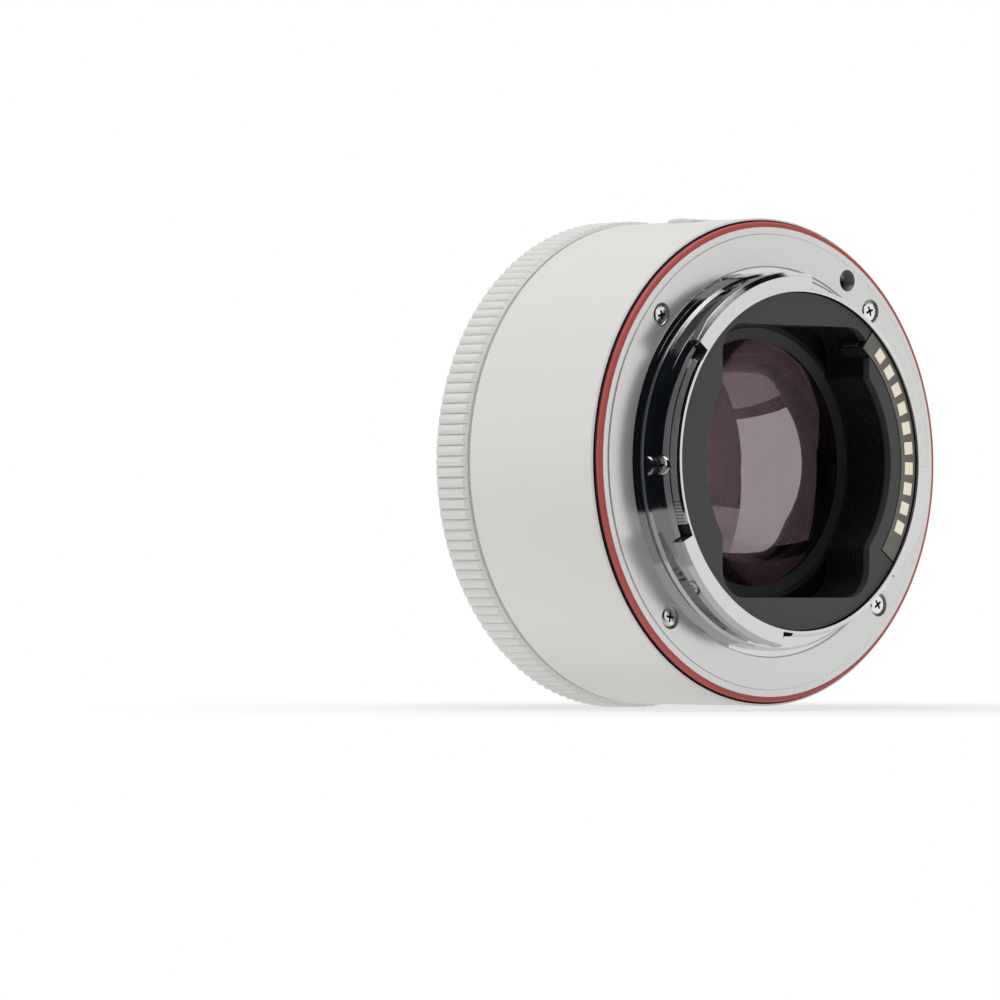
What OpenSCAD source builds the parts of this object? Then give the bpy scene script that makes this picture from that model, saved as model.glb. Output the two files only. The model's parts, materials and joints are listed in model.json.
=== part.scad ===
// Camera teleconverter with a male bayonet at the rear and a female bayonet at the front.
// Every piece is drawn with the optical axis along its own +Z, the rear end up, and w as the
// distance behind the front mount face. along_axis() then lays the axis on Y, rear towards -Y.

/* [Mounts] */
// Distance between the front and rear mount faces
flange_gap = 30; // [29:0.5:38]
// Inner diameter of the front throat, which takes the bayonet tube of a lens
throat_d = 46.1; // [45.6:0.1:46.6]
// Radial play of a bayonet tube in a throat
tube_play = 0.55; // [0.4:0.05:0.7]
// Wall of the rear bayonet tube
tube_wall = 0.8; // [0.7:0.05:1]
// Height of the rear bayonet tube above its flange
tube_h = 5.4; // [5.2:0.1:6]
// Radial height of a bayonet lug
lug_reach = 1.75; // [1.5:0.05:1.9]
// Axial thickness of a bayonet lug
lug_t = 1.65; // [1.2:0.05:1.8]
// Arc of a bayonet lug, in degrees
lug_arc = 56; // [48:1:58]
// Height of the shoulder that centres the rear mount, above its flange
shoulder_h = 1.4; // [1.2:0.1:1.6]
// Thickness of the rear flange
rear_flange_t = 2; // [1.6:0.1:2.4]
// Thickness of the front flange
front_flange_t = 2; // [1.8:0.1:2.4]
// Radius of the circle that the mount screws lie on
screw_circle_r = 27; // [26.8:0.1:27.4]
// Head diameter of a mount screw
screw_head_d = 2.7; // [2.2:0.1:2.8]

/* [Body] */
// Outer diameter of the barrel
barrel_d = 62.6; // [62:0.2:68]
// Wall of the barrel
barrel_wall = 1.4; // [1.2:0.1:1.6]
// Radial width of the rear seal
seal_w = 0.8; // [0.6:0.1:1]
// Length of the ribbed part of the grip ring
grip_len = 5.5; // [4.5:0.1:6]
// Height of a grip rib above the barrel
rib_h = 0.45; // [0.2:0.05:0.6]
// Number of grip ribs
rib_count = 144; // [72:12:180]

/* [Lens lock] */
// Radius of the circle that the lock pin and the lock hole lie on
lock_circle_r = 27.5; // [27.3:0.1:27.6]
// Diameter of the lock pin
lock_pin_d = 2.4; // [2:0.1:2.6]
// Height of the lock pin above the front mount face
lock_pin_h = 1.5; // [1:0.1:1.8]
// Travel of the release lever and the lock pin
lever_travel = 1.8; // [1.6:0.1:2.2]
// Width of the release lever around the barrel
lever_w = 8.2; // [6:0.2:10]
// Length of the release lever along the barrel
lever_len = 4.6; // [4.4:0.1:6]
// Distance of the release lever behind the front mount face
lever_front = 15.05; // [14:0.05:17]
// Height of the release lever above the barrel
lever_h = 0.3; // [0.2:0.05:1]

/* [Contacts] */
// Radius of the circle that the contacts lie on
contact_circle_r = 20.3; // [20.1:0.1:20.5]
// Angle from one contact to the next, in degrees
contact_pitch = 7.45; // [7.2:0.05:7.6]
// Radial length of a contact pad
pad_l = 1.5; // [1.2:0.1:1.7]
// Width of a contact pad along the row
pad_w = 1.6; // [1.2:0.1:1.8]
// Tip diameter of a contact pin
pin_tip_d = 0.84; // [0.7:0.02:0.96]
// Travel of a contact pin
pin_travel = 0.8; // [0.5:0.1:1]

/* [Optics] */
// Length of the front lens cell ahead of the front mount face
nose_len = 9.4; // [9.2:0.2:12]
// Outer diameter of the front lens cell
nose_d = 34; // [33.6:0.1:34.2]
// Diameter of the rear lens element
rear_lens_d = 32.8; // [32:0.1:33]
// Radius of the rear face of the rear lens element
rear_lens_radius = 32; // [30:0.5:40]
// Radius of the round part of the rear window
window_r = 16.9; // [16.6:0.1:17]
// Half height of the straight part of the rear window
window_half_h = 17.4; // [16.8:0.1:17.6]
// Corner radius of the rear window
window_corner_r = 3.8; // [2.5:0.1:5]

/* [Hidden] */
$fn = 96;
sphere_fn = 400; // lens faces are shallow caps of large spheres

// Number of contacts, which the lens and the camera share
contact_count = 10;
PIN_NODES = [for (i = [1 : contact_count]) str("contact_pin_", i)];

// Clearances
fit = 0.05;         // radial, between turned pieces that are pushed together
thread_play = 0.03; // radial, between a screw and its tapped hole
slide_play = 0.06;  // radial, between a pin and its bore
cement = 0.02;      // between cemented lens faces
touch = 0.02;       // between a piece and the stop or shoulder that it rests on
hole_play = 0.1;    // radial, between a screw and a hole that it passes through
seat_play = 0.2;    // between a piece and the pocket or recess that it drops into
cut = 1;            // how far a cutter runs past the face it opens

// Angles around the axis, seen from the rear, anticlockwise from +X
lug_angles = [113.5, 233.5, 353.5];
// Degrees taken off the first and last end of each rear lug
lug_trims = [[0, 0], [0, 0], [-6, 22.5]];
// Arc of the lead flat at the first and last end of each rear lug
lug_leads = [[8, 8], [8, 8], [20.5, 0]];
// Notch beyond the first and last end of each rear lug, 1 where there is one
lug_notches = [[0, 1], [1, 1], [0, 0]];
screw_angles = [47.3, 137.3, 227.3, 317.3];
mask_screw_angles = [101, 182, 285];
board_screw_angles = [-50, 80, 100];
cell_screw_angles = [90, 180, 270];
lock_angle = 59.5;
lever_angle = 90;
contact_mid_angle = 9.3;
contact_first_angle = contact_mid_angle - contact_pitch * (contact_count - 1) / 2;
contact_angles = [for (i = [0 : contact_count - 1]) contact_first_angle + i * contact_pitch];
block_first_angle = contact_angles[0] - 1.6 * contact_pitch;
block_last_angle = contact_angles[contact_count - 1] + 1.15 * contact_pitch;
block_play_angle = 0.7;
board_first_angle = -58;
board_last_angle = 110;
chip_angle = -22;

// Radii of the mounts
throat_r = throat_d / 2;
tube_r = throat_r - tube_play;
bore_r = tube_r - tube_wall;
lug_r = tube_r + lug_reach;
shoulder_r = lug_r - 0.05;
lug_play = 0.45;
lug_pass_r = lug_r + lug_play;
cavity_r = lug_pass_r + 0.2;
mount_rim_w = 1.1;
mount_rim_r = lug_pass_r + mount_rim_w;
rebate_r = mount_rim_r + hole_play;

// Radii of the body
barrel_r = barrel_d / 2;
barrel_bore_r = barrel_r - barrel_wall;
seal_inset = 0.3;
seal_r = barrel_r - seal_inset;
seal_bore_r = seal_r - seal_w;
flange_r = seal_bore_r - fit;
face_inset = 0.92;
face_r = flange_r - face_inset;
relief_w = 2.5;
relief_r = tube_r + relief_w;
ledge_w = 1.5;
ledge_r = barrel_bore_r - ledge_w;
sleeve_t = 0.25;
sleeve_bore_r = barrel_bore_r - sleeve_t;
front_ring_r = sleeve_bore_r - fit;
grip_lip_w = 0.8;
front_step_r = front_ring_r - grip_lip_w;

// Places along the axis
grip_front = 0.6;
grip_rear = grip_front + grip_len;
grip_groove_w = 0.45;
grip_lip_t = 0.8;
grip_lip_front = front_flange_t - grip_lip_t;
barrel_front = grip_rear + grip_groove_w;
spigot_len = 1.4;
spigot_end = barrel_front + spigot_len;
chassis_front = front_flange_t;
chassis_ring_rear = barrel_front - 0.6;
front_rim_t = 3.2;
leaf_t = 0.3;
rebate_depth = front_rim_t + leaf_t + 0.5;
shield_front = tube_h + 1;
shield_t = 1;
web_front = shield_front + shield_t;
web_t = 2;
web_rear = web_front + web_t;
rear_face = flange_gap;
flange_front = rear_face - rear_flange_t;
tube_end = rear_face + tube_h;
ledge_t = 1.1;
ledge_front = flange_front - ledge_t;
rear_ring_t = 1.7;
rear_ring_front = ledge_front - rear_ring_t;
trap_base_t = 0.9;
trap_base_front = flange_front - trap_base_t;
shelf_setback = 6.4;
shelf_rear = rear_face - shelf_setback;
shelf_t = 1.6;
barrel_rear = rear_face - 1;

// Frame tube and its seats
frame_tube_r = cavity_r - 0.3;
frame_tube_wall = 1.2;
frame_bore_r = frame_tube_r - frame_tube_wall;
web_r = cavity_r + 0.6;
trap_seat_r = frame_bore_r;
cell_seat_r = frame_bore_r - 0.8;
cell_wall = 1.6;
cell_r = rear_lens_d / 2 + cell_wall;
shelf_bore_r = cell_r + 0.4;

// Screws
screw_head_r = screw_head_d / 2;
screw_head_h = 0.65;
screw_shank_r = 0.8;
counterbore_r = screw_head_r + 0.2;
counterbore_depth = screw_head_h + 0.1;
rear_screw_len = 4;
front_screw_len = 3.6;
small_head_r = 0.6;
small_head_h = 0.35;
small_shank_r = 0.4;
leaf_screw_circle_r = lug_pass_r + 0.4;
mask_screw_w = rear_face + 2.75;
mask_screw_head_r = 1.2;
mask_screw_head_h = 0.5;
mask_screw_shank_r = 0.6;
mask_screw_seat_r = tube_r - 0.2;
mask_screw_len = 1.8;

// Lens lock
lock_pin_r = lock_pin_d / 2;
lock_hole_r = lock_pin_r + 0.2;
lock_hole_relief = 0.3;
slide_boss_r = lock_pin_r + 0.55;
slide_boss_front = chassis_ring_rear + touch;
slide_boss_len = 3.2;
slide_boss_rear = slide_boss_front + slide_boss_len;
slide_t = 0.9;
slide_r = lock_circle_r + slide_boss_r - 0.3;
lock_tail_r = lock_pin_r - 0.4;
lock_tail_end = slide_boss_rear + 2;
spring_wire_r = 0.18;
spring_mean_r = lock_tail_r + 0.4;
spring_turns = 5.5;
spring_front = slide_boss_rear + touch;
spring_len = 4.8;
spring_seat_front = spring_front + spring_len + touch;
spring_seat_t = 1.6;
spring_seat_arc = 9;
spring_seat_r = lock_circle_r + spring_mean_r + spring_wire_r;
lever_gap = 0.35;
lever_floor_z = barrel_r - 0.8;
lever_lift = 0.1;
lever_bottom_z = lever_floor_z + lever_lift;
lever_top_z = barrel_r + lever_h;
stem_front = lever_front + 0.6;
stem_len = 2;
stem_w = 3;
slide_pad_z = slide_r + 0.1;
stem_play = 0.3;
tongue_len = stem_len - 0.6;
tongue_w = stem_w - 1;
tongue_h = 0.7;
tongue_front = stem_front + (stem_len - tongue_len) / 2;

// Contacts
block_r_in = contact_circle_r - 1.35;
block_r_out = bore_r - 0.15;
mask_rear = tube_end - 0.45;
mask_t = 1.05;
mask_front = mask_rear - mask_t;
mask_r = bore_r - 0.12;
trap_r = bore_r - 0.3;
block_h = 4.5;
block_seat = mask_rear - block_h;
pad_t = 0.4;
pad_proud = 0.05;
front_block_r_in = contact_circle_r - 2;
front_block_r_out = contact_circle_r + 2;
front_block_front = tube_h + 0.4;
nut_t = 1.8;
board_front = web_rear + nut_t + seat_play;
board_t = 0.8;
board_r_in = shelf_bore_r - hole_play;
board_r_out = frame_bore_r - seat_play;
board_mid_r = (board_r_in + board_r_out) / 2;
pin_tip_r = pin_tip_d / 2;
pin_bore_r = pin_tip_r + slide_play;
pin_collar_r = pin_tip_r + 0.22;
pin_well_r = pin_collar_r + slide_play;
pin_tip_front = front_block_front - 0.7 - pin_travel;
pin_well_front = front_block_front + 0.8;
pin_collar_front = pin_well_front + 0.05;
pin_collar_t = 0.7;
pin_collar_rear = pin_collar_front + pin_collar_t;
pin_tail_r = 0.3;
pin_tail_len = 1.2;
board_head_r = 0.9;
board_boss_r = 1.2;
flex_w = 8;
flex_t = 0.2;
flex_r = contact_circle_r + 0.4;
flex_slot_play = 0.4;

// Light trap
window_x_min = -14;
window_x_max = 12.9;
trap_margin = 0.1;
trap_groove_pitch = 0.47;
trap_groove_w = 0.24;
trap_groove_depth = 0.35;

// Front optics: the first lens and the first doublet in the nose
nose_r = nose_d / 2;
nose_spigot_r = nose_r - 1;
nose_front = -nose_len;
bumper_t = 0.6;
front_lens_r = 13.8;
front_lens_front = nose_front + 1.4;
front_lens_t = 4;
front_lens_rear = front_lens_front + front_lens_t;
front_lens_r1 = 40;
front_lens_r2 = 120;
front_ring_in_r = 13.4;
front_ring_out_r = 14.45;
front_ring_seat = front_lens_front + sag(front_lens_r1, front_ring_in_r) - fit;
doublet_r = 13;
doublet_lip_r = 12.2;
doublet_gap = 0.8;
doublet_front_t = 5.8;
doublet_rear_t = 1.8;
doublet_front = front_lens_rear + doublet_gap;
doublet_mid = doublet_front + doublet_front_t;
doublet_rear = doublet_mid + doublet_rear_t;
doublet_r1 = 60;
doublet_r2 = 32;
doublet_r3 = 90;

// Rear optics: triplet, field lens and rear lens in the rear cell
rear_lens_r = rear_lens_d / 2;
rear_lens_rim = rear_face - 4.12;
rear_lens_rear = rear_lens_rim + sag(rear_lens_radius, rear_lens_r);
rear_lens_edge = 0.85;
rear_lens_front = rear_lens_rim - rear_lens_edge;
field_lens_r = 13.5;
field_gap = 0.9;
field_lens_rear = rear_lens_front - field_gap;
field_lens_front = field_lens_rear - 1;
field_r1 = 120;
field_r2 = 150;
triplet_r = 11;
triplet_r1 = 50;
triplet_r2 = 24;
triplet_r3 = 26;
triplet_r4 = 60;
triplet_v4 = field_lens_front - 2.4;
triplet_v3 = triplet_v4 - 1.2;
triplet_v2 = triplet_v3 - 6;
triplet_v1 = triplet_v2 - 1.2;
triplet_front_rim = triplet_v1 - sag(triplet_r1, triplet_r);
triplet_rear_rim = triplet_v4 + sag(triplet_r4, triplet_r);
triplet_lip_r = 10.2;
cell_front = triplet_front_rim - 0.8;
cell_neck_r = triplet_r + 1.6;
cell_neck_rear = web_rear + 3;
retainer_depth = 1.02;
cell_rear = rear_lens_rim + retainer_depth;
cell_flange_r = cell_seat_r - 0.2;
cell_flange_t = 1.4;
cell_screw_circle_r = (cell_r + cell_flange_r) / 2;
retainer_r = rear_lens_r + 1;
retainer_seat = rear_lens_rim + fit;

// Depth of a spherical cap
function sag(radius, r) = radius - sqrt(radius * radius - r * r);

// Lays the axis on Y, with the rear end towards -Y
module along_axis() {
    rotate([90, 0, 0]) children();
}

// Moves children out to a radius at an angle around the axis
module polar(angle, radius) {
    rotate([0, 0, angle]) translate([radius, 0, 0]) children();
}

// Solid of revolution from outline points [radius, w]
module turned(points) {
    rotate_extrude() polygon(points);
}

// Plain ring
module ring(r_in, r_out, from, to) {
    turned([[r_in, from], [r_out, from], [r_out, to], [r_in, to]]);
}

// Piece of a ring between two angles
module sector(r_in, r_out, from, to, first, last) {
    rotate([0, 0, first]) rotate_extrude(angle = last - first)
        polygon([[r_in, from], [r_out, from], [r_out, to], [r_in, to]]);
}

// Drill along the axis
module drill(r, from, to) {
    translate([0, 0, from]) cylinder(r = r, h = to - from);
}

// Cross-head screw with the underside of its head at the origin, pointing down
module cross_screw(head_r, head_h, shank_r, len) {
    slot_w = head_r * 0.34;
    slot_l = head_r * 1.3;
    slot_depth = head_h * 0.7;
    difference() {
        union() {
            turned([[0, 0], [head_r, 0], [head_r, head_h * 0.6], [head_r * 0.78, head_h], [0, head_h]]);
            translate([0, 0, -len]) cylinder(r = shank_r, h = len + head_h / 2);
        }
        for (turn = [0, 90])
            rotate([0, 0, turn]) translate([-slot_l / 2, -slot_w / 2, head_h - slot_depth])
                cube([slot_l, slot_w, slot_depth + cut]);
    }
}

// Lens with its vertices at front and rear: a positive radius bulges, a negative one is hollow, 0 is flat
module lens(r, front, rear, radius_1, radius_2) {
    rim_1 = radius_1 < 0 ? front - sag(-radius_1, r) : front;
    rim_2 = radius_2 < 0 ? rear + sag(-radius_2, r) : rear;
    difference() {
        intersection() {
            drill(r, rim_1, rim_2);
            if (radius_1 > 0) translate([0, 0, front + radius_1]) sphere(r = radius_1, $fn = sphere_fn);
            if (radius_2 > 0) translate([0, 0, rear - radius_2]) sphere(r = radius_2, $fn = sphere_fn);
        }
        if (radius_1 < 0) translate([0, 0, front + radius_1]) sphere(r = -radius_1, $fn = sphere_fn);
        if (radius_2 < 0) translate([0, 0, rear - radius_2]) sphere(r = -radius_2, $fn = sphere_fn);
    }
}

// Outline of the rear window, grown by a margin
module window_outline(grow) {
    inset = window_corner_r;
    x0 = window_x_min;
    x1 = window_x_max;
    h = window_half_h;
    circle(r = window_r + grow);
    translate([x0 + inset, -h - grow]) square([x1 - x0 - 2 * inset, 2 * (h + grow)]);
    translate([x0 - grow, -h + inset]) square([x1 - x0 + 2 * grow, 2 * (h - inset)]);
    for (x = [x0 + inset, x1 - inset], y = [-h + inset, h - inset])
        translate([x, y]) circle(r = inset + grow);
}

// Contact row pocket, which the rear contact block fits with play
module block_pocket(from, to) {
    sector(block_r_in - seat_play, bore_r + cut, from, to,
        block_first_angle - block_play_angle, block_last_angle + block_play_angle);
}

// Slot that the contact flex passes through
module flex_slot(from, to) {
    w = flex_w + 2 * flex_slot_play;
    t = flex_t + 2 * flex_slot_play;
    rotate([0, 0, contact_mid_angle]) translate([flex_r - flex_slot_play, -w / 2, from])
        cube([t, w, to - from]);
}

// Pocket that the front contact block passes through with play
module front_block_pocket(from, to) {
    sector(front_block_r_in - seat_play, front_block_r_out + seat_play, from, to,
        block_first_angle - block_play_angle, block_last_angle + block_play_angle);
}

// Holes for the mount screws
module mount_screw_holes(r, from, to) {
    for (angle = screw_angles)
        polar(angle, screw_circle_r) drill(r, from, to);
}

// Hole on the axis of the lock pin
module lock_hole(r, from, to) {
    polar(lock_angle, lock_circle_r) drill(r, from, to);
}

// Moves children to each mask screw, with its head along +Z and the optical axis at z = 0
module mask_screw_places() {
    for (angle = mask_screw_angles)
        rotate([0, 0, angle]) translate([0, 0, mask_screw_w]) rotate([0, 90, 0]) children();
}

// Body

module barrel() {
    rim = 0.2;
    slot_front = stem_front - stem_play;
    slot_len = stem_len + lever_travel + 2 * stem_play;
    slot_w = stem_w + 2 * stem_play;
    pocket_front = lever_front - lever_gap;
    pocket_len = lever_len + lever_travel + 2 * lever_gap;
    pocket_w = lever_w + 2 * lever_gap;
    color("whitesmoke") along_axis() difference() {
        turned([
            [barrel_bore_r, barrel_front],
            [barrel_r - rim, barrel_front],
            [barrel_r, barrel_front + rim],
            [barrel_r, barrel_rear - rim],
            [barrel_r - rim, barrel_rear],
            [seal_r + fit, barrel_rear],
            [seal_r + fit, flange_front],
            [ledge_r, flange_front],
            [ledge_r, ledge_front],
            [barrel_bore_r, ledge_front],
        ]);
        rotate([0, 0, lever_angle]) {
            translate([lever_floor_z, -pocket_w / 2, pocket_front])
                cube([barrel_r, pocket_w, pocket_len]);
            translate([barrel_bore_r - barrel_wall, -slot_w / 2, slot_front])
                cube([2 * barrel_wall + cut, slot_w, slot_len]);
        }
    }
}

// Outline of the ribbed grip, with rounded ribs and sharp valleys
module grip_outline() {
    steps = 6;
    points = rib_count * steps;
    valley_depth = 0.05;
    polygon([for (i = [0 : points - 1])
        let (
            angle = i * 360 / points,
            crest = sqrt(abs(sin(rib_count * angle / 2))),
            r = barrel_r - valley_depth + (rib_h + valley_depth) * crest
        )
        r * [cos(angle), sin(angle)]]);
}

module grip_ring() {
    groove_r = barrel_r - 0.55;
    color("whitesmoke") along_axis() {
        difference() {
            translate([0, 0, grip_front]) linear_extrude(grip_len) grip_outline();
            drill(sleeve_bore_r, grip_front - cut, grip_rear + cut);
        }
        turned([
            [front_step_r + fit, grip_lip_front],
            [sleeve_bore_r + fit, grip_lip_front],
            [sleeve_bore_r + fit, grip_rear - fit],
            [groove_r, grip_rear - fit],
            [groove_r, barrel_front],
            [barrel_bore_r - fit, barrel_front],
            [barrel_bore_r - fit, spigot_end],
            [sleeve_bore_r, spigot_end],
            [sleeve_bore_r, chassis_front],
            [front_step_r + fit, chassis_front],
        ]);
    }
}

module chassis() {
    tapped_r = screw_shank_r + thread_play;
    small_tapped_r = small_shank_r + thread_play;
    tapped_depth = 2;
    shelf_front = shelf_rear - shelf_t;
    rear_ring_r = barrel_bore_r - seat_play;
    rear_boss_r = ledge_r - hole_play;
    spring_seat_rear = spring_seat_front + spring_seat_t;
    color("dimgray") along_axis() difference() {
        union() {
            turned([
                [rebate_r, chassis_front],
                [front_ring_r, chassis_front],
                [front_ring_r, chassis_ring_rear],
                [web_r, chassis_ring_rear],
                [web_r, web_rear],
                [frame_tube_r, web_rear],
                [frame_tube_r, rear_ring_front],
                [rear_ring_r, rear_ring_front],
                [rear_ring_r, ledge_front],
                [rear_boss_r, ledge_front],
                [rear_boss_r, flange_front],
                [trap_seat_r, flange_front],
                [trap_seat_r, trap_base_front],
                [cell_seat_r, trap_base_front],
                [cell_seat_r, shelf_rear],
                [shelf_bore_r, shelf_rear],
                [shelf_bore_r, shelf_front],
                [frame_bore_r, shelf_front],
                [frame_bore_r, web_rear],
                [nose_spigot_r + hole_play, web_rear],
                [nose_spigot_r + hole_play, web_front],
                [cavity_r, web_front],
                [cavity_r, rebate_depth],
                [rebate_r, rebate_depth],
            ]);
            sector(frame_tube_r - fit, spring_seat_r, spring_seat_front, spring_seat_rear,
                lock_angle - spring_seat_arc / 2, lock_angle + spring_seat_arc / 2);
            for (angle = board_screw_angles)
                polar(angle, board_mid_r) drill(board_boss_r, web_rear - fit, board_front);
        }
        mount_screw_holes(tapped_r, rear_ring_front - cut, flange_front + cut);
        mount_screw_holes(tapped_r, chassis_front - cut, chassis_ring_rear + cut);
        lock_hole(lock_hole_r + lock_hole_relief, rear_ring_front - cut, flange_front + cut);
        lock_hole(lock_pin_r + hole_play, chassis_front - cut, chassis_ring_rear + cut);
        for (angle = board_screw_angles)
            polar(angle, board_mid_r)
                drill(small_tapped_r, board_front - tapped_depth, board_front + cut);
        for (angle = cell_screw_angles)
            polar(angle, cell_screw_circle_r) drill(small_tapped_r, shelf_front - cut, shelf_rear + cut);
        front_block_pocket(web_front - cut, web_rear + cut);
        flex_slot(shelf_front - cut, shelf_rear + cut);
    }
}

// Rear mount

// First and last angle of rear lug i
function lug_ends(i) = [
    lug_angles[i] - lug_arc / 2 + lug_trims[i][0],
    lug_angles[i] + lug_arc / 2 - lug_trims[i][1],
];

// Lug on the rear tube, with a lead flat at its ends
module rear_lug(i) {
    bevel = 0.55;
    lug_from = tube_end - lug_t;
    root_r = bore_r + tube_wall / 4;
    ends = lug_ends(i);
    difference() {
        rotate([0, 0, ends[0]]) rotate_extrude(angle = ends[1] - ends[0])
            polygon([
                [root_r, lug_from],
                [lug_r, lug_from],
                [lug_r, tube_end - bevel],
                [lug_r - bevel, tube_end],
                [root_r, tube_end],
            ]);
        for (side = [0, 1]) if (lug_leads[i][side] > 0)
            rotate([0, 0, ends[side]])
                translate([lug_r * cos(lug_leads[i][side]), -lug_r / 2, lug_from - cut])
                    cube([lug_r, lug_r, lug_t + 2 * cut]);
    }
}

// Cutters for the pockets in the tube beside the lugs
module notch_cutters() {
    arc = 4;
    overlap = 0.3;
    floor_r = bore_r + 0.3;
    from = tube_end - lug_t + 0.05;
    for (i = [0 : len(lug_angles) - 1]) {
        if (lug_notches[i][0])
            sector(floor_r, lug_r + cut, from, tube_end + cut, lug_ends(i)[0] - arc, lug_ends(i)[0] + overlap);
        if (lug_notches[i][1])
            sector(floor_r, lug_r + cut, from, tube_end + cut, lug_ends(i)[1] - overlap, lug_ends(i)[1] + arc);
    }
}

module rear_mount() {
    rim_step = 0.15;
    relief_depth = 0.25;
    relief_bevel = 0.12;
    shoulder_bevel = 0.35;
    band_w = 1.5;
    band_step = 0.1;
    edge_w = 0.3;
    edge_h = 0.25;
    relief_floor = rear_face - relief_depth;
    shoulder_rear = rear_face + shoulder_h;
    band_r = tube_r - band_step;
    color("gainsboro") along_axis() difference() {
        union() {
            turned([
                [bore_r, flange_front],
                [flange_r, flange_front],
                [flange_r, rear_face - rim_step],
                [face_r, rear_face - rim_step],
                [face_r, rear_face],
                [relief_r + relief_bevel, rear_face],
                [relief_r, rear_face - relief_bevel],
                [relief_r, relief_floor],
                [shoulder_r, relief_floor],
                [shoulder_r, shoulder_rear - shoulder_bevel],
                [shoulder_r - shoulder_bevel, shoulder_rear],
                [tube_r, shoulder_rear],
                [tube_r, tube_end - band_w],
                [band_r, tube_end - band_w],
                [band_r, tube_end - edge_h],
                [band_r - edge_w, tube_end],
                [bore_r, tube_end],
            ]);
            for (i = [0 : len(lug_angles) - 1]) rear_lug(i);
        }
        notch_cutters();
        mount_screw_holes(counterbore_r, rear_face - counterbore_depth, rear_face + cut);
        mount_screw_holes(screw_shank_r + hole_play, flange_front - cut, rear_face);
        lock_hole(lock_hole_r, flange_front - cut, rear_face + cut);
        mask_screw_places() {
            translate([0, 0, mask_screw_seat_r])
                cylinder(r = mask_screw_head_r + hole_play, h = lug_reach + tube_wall);
            translate([0, 0, bore_r - cut])
                cylinder(r = mask_screw_shank_r + hole_play, h = tube_wall + 2 * cut);
        }
    }
}

module rear_mount_screws() {
    shank = rear_screw_len - counterbore_depth;
    color("silver") along_axis() for (angle = screw_angles)
        polar(angle, screw_circle_r) translate([0, 0, rear_face - counterbore_depth]) rotate([0, 0, angle])
            cross_screw(screw_head_r, screw_head_h, screw_shank_r, shank);
}

module rear_seal() {
    bead_r = seal_w / 2;
    crown = rear_face - 0.3;
    color("firebrick") along_axis() rotate_extrude() {
        translate([seal_bore_r, flange_front]) square([seal_w, crown - bead_r - flange_front]);
        translate([seal_bore_r + bead_r, crown - bead_r]) circle(r = bead_r);
    }
}

module rear_mask() {
    color("black") along_axis() difference() {
        drill(mask_r, mask_front, mask_rear);
        translate([0, 0, mask_front - cut]) linear_extrude(mask_t + 2 * cut) window_outline(0);
        block_pocket(mask_front - cut, mask_rear + cut);
    }
}

// Tunnel ahead of the mask, with fine grooves that follow the window
module light_trap() {
    plain_end = 0.4;
    first_groove = trap_base_front + plain_end;
    groove_count = floor((mask_front - plain_end - first_groove) / trap_groove_pitch);
    tapped_from = mask_screw_seat_r - mask_screw_len - seat_play;
    color("black") along_axis() difference() {
        union() {
            drill(trap_seat_r - seat_play, trap_base_front, flange_front);
            drill(trap_r, trap_base_front, mask_front);
        }
        translate([0, 0, trap_base_front - cut]) linear_extrude(mask_front - trap_base_front + 2 * cut)
            window_outline(trap_margin);
        for (i = [0 : groove_count])
            translate([0, 0, first_groove + i * trap_groove_pitch]) linear_extrude(trap_groove_w)
                window_outline(trap_margin + trap_groove_depth);
        block_pocket(block_seat, mask_front + cut);
        flex_slot(trap_base_front - cut, block_seat + cut);
        mask_screw_places() translate([0, 0, tapped_from])
            cylinder(r = mask_screw_shank_r + thread_play, h = mask_screw_len + tube_wall);
    }
}

module mask_screws() {
    color("silver") along_axis() mask_screw_places() translate([0, 0, mask_screw_seat_r])
        cross_screw(mask_screw_head_r, mask_screw_head_h, mask_screw_shank_r, mask_screw_len);
}

// Moves children to the place of one contact pad
module pad_place(angle) {
    polar(angle, contact_circle_r) translate([-pad_l / 2, -pad_w / 2, mask_rear + pad_proud - pad_t])
        children();
}

module rear_contact_block() {
    color([0.16, 0.16, 0.16]) along_axis() difference() {
        sector(block_r_in, block_r_out, block_seat, mask_rear, block_first_angle, block_last_angle);
        for (angle = contact_angles)
            pad_place(angle) cube([pad_l, pad_w, pad_t + cut]);
    }
}

module rear_contact_pads() {
    color("wheat") along_axis() for (angle = contact_angles)
        pad_place(angle) cube([pad_l, pad_w, pad_t]);
}

// Front mount

// Ring with a seat for the lens's shoulder and three wide gaps in its bore, which leave the lugs standing
module front_mount() {
    bevel = 0.3;
    tapped_depth = 1.6;
    seat_r = shoulder_r + hole_play;
    seat_depth = shoulder_h + hole_play;
    gap_arc = 360 / len(lug_angles) - lug_arc;
    color("gainsboro") along_axis() difference() {
        turned([
            [seat_r + bevel, 0],
            [front_ring_r - bevel, 0],
            [front_ring_r, bevel],
            [front_ring_r, grip_lip_front],
            [front_step_r, grip_lip_front],
            [front_step_r, front_flange_t],
            [mount_rim_r, front_flange_t],
            [mount_rim_r, front_rim_t],
            [throat_r, front_rim_t],
            [throat_r, seat_depth],
            [seat_r, seat_depth],
            [seat_r, bevel],
        ]);
        for (angle = lug_angles)
            sector(throat_r - cut, lug_pass_r, -cut, front_rim_t + cut,
                angle + lug_arc / 2, angle + lug_arc / 2 + gap_arc);
        mount_screw_holes(counterbore_r, -cut, counterbore_depth);
        mount_screw_holes(screw_shank_r + hole_play, 0, front_flange_t + cut);
        lock_hole(lock_pin_r + slide_play, -cut, front_flange_t + cut);
        leaf_screw_places()
            drill(small_shank_r + thread_play, front_rim_t - tapped_depth, front_rim_t + cut);
    }
}

module front_mount_screws() {
    shank = front_screw_len - counterbore_depth;
    color("silver") along_axis() for (angle = screw_angles)
        polar(angle, screw_circle_r) translate([0, 0, counterbore_depth]) rotate([180, 0, 0])
            cross_screw(screw_head_r, screw_head_h, screw_shank_r, shank);
}

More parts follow.
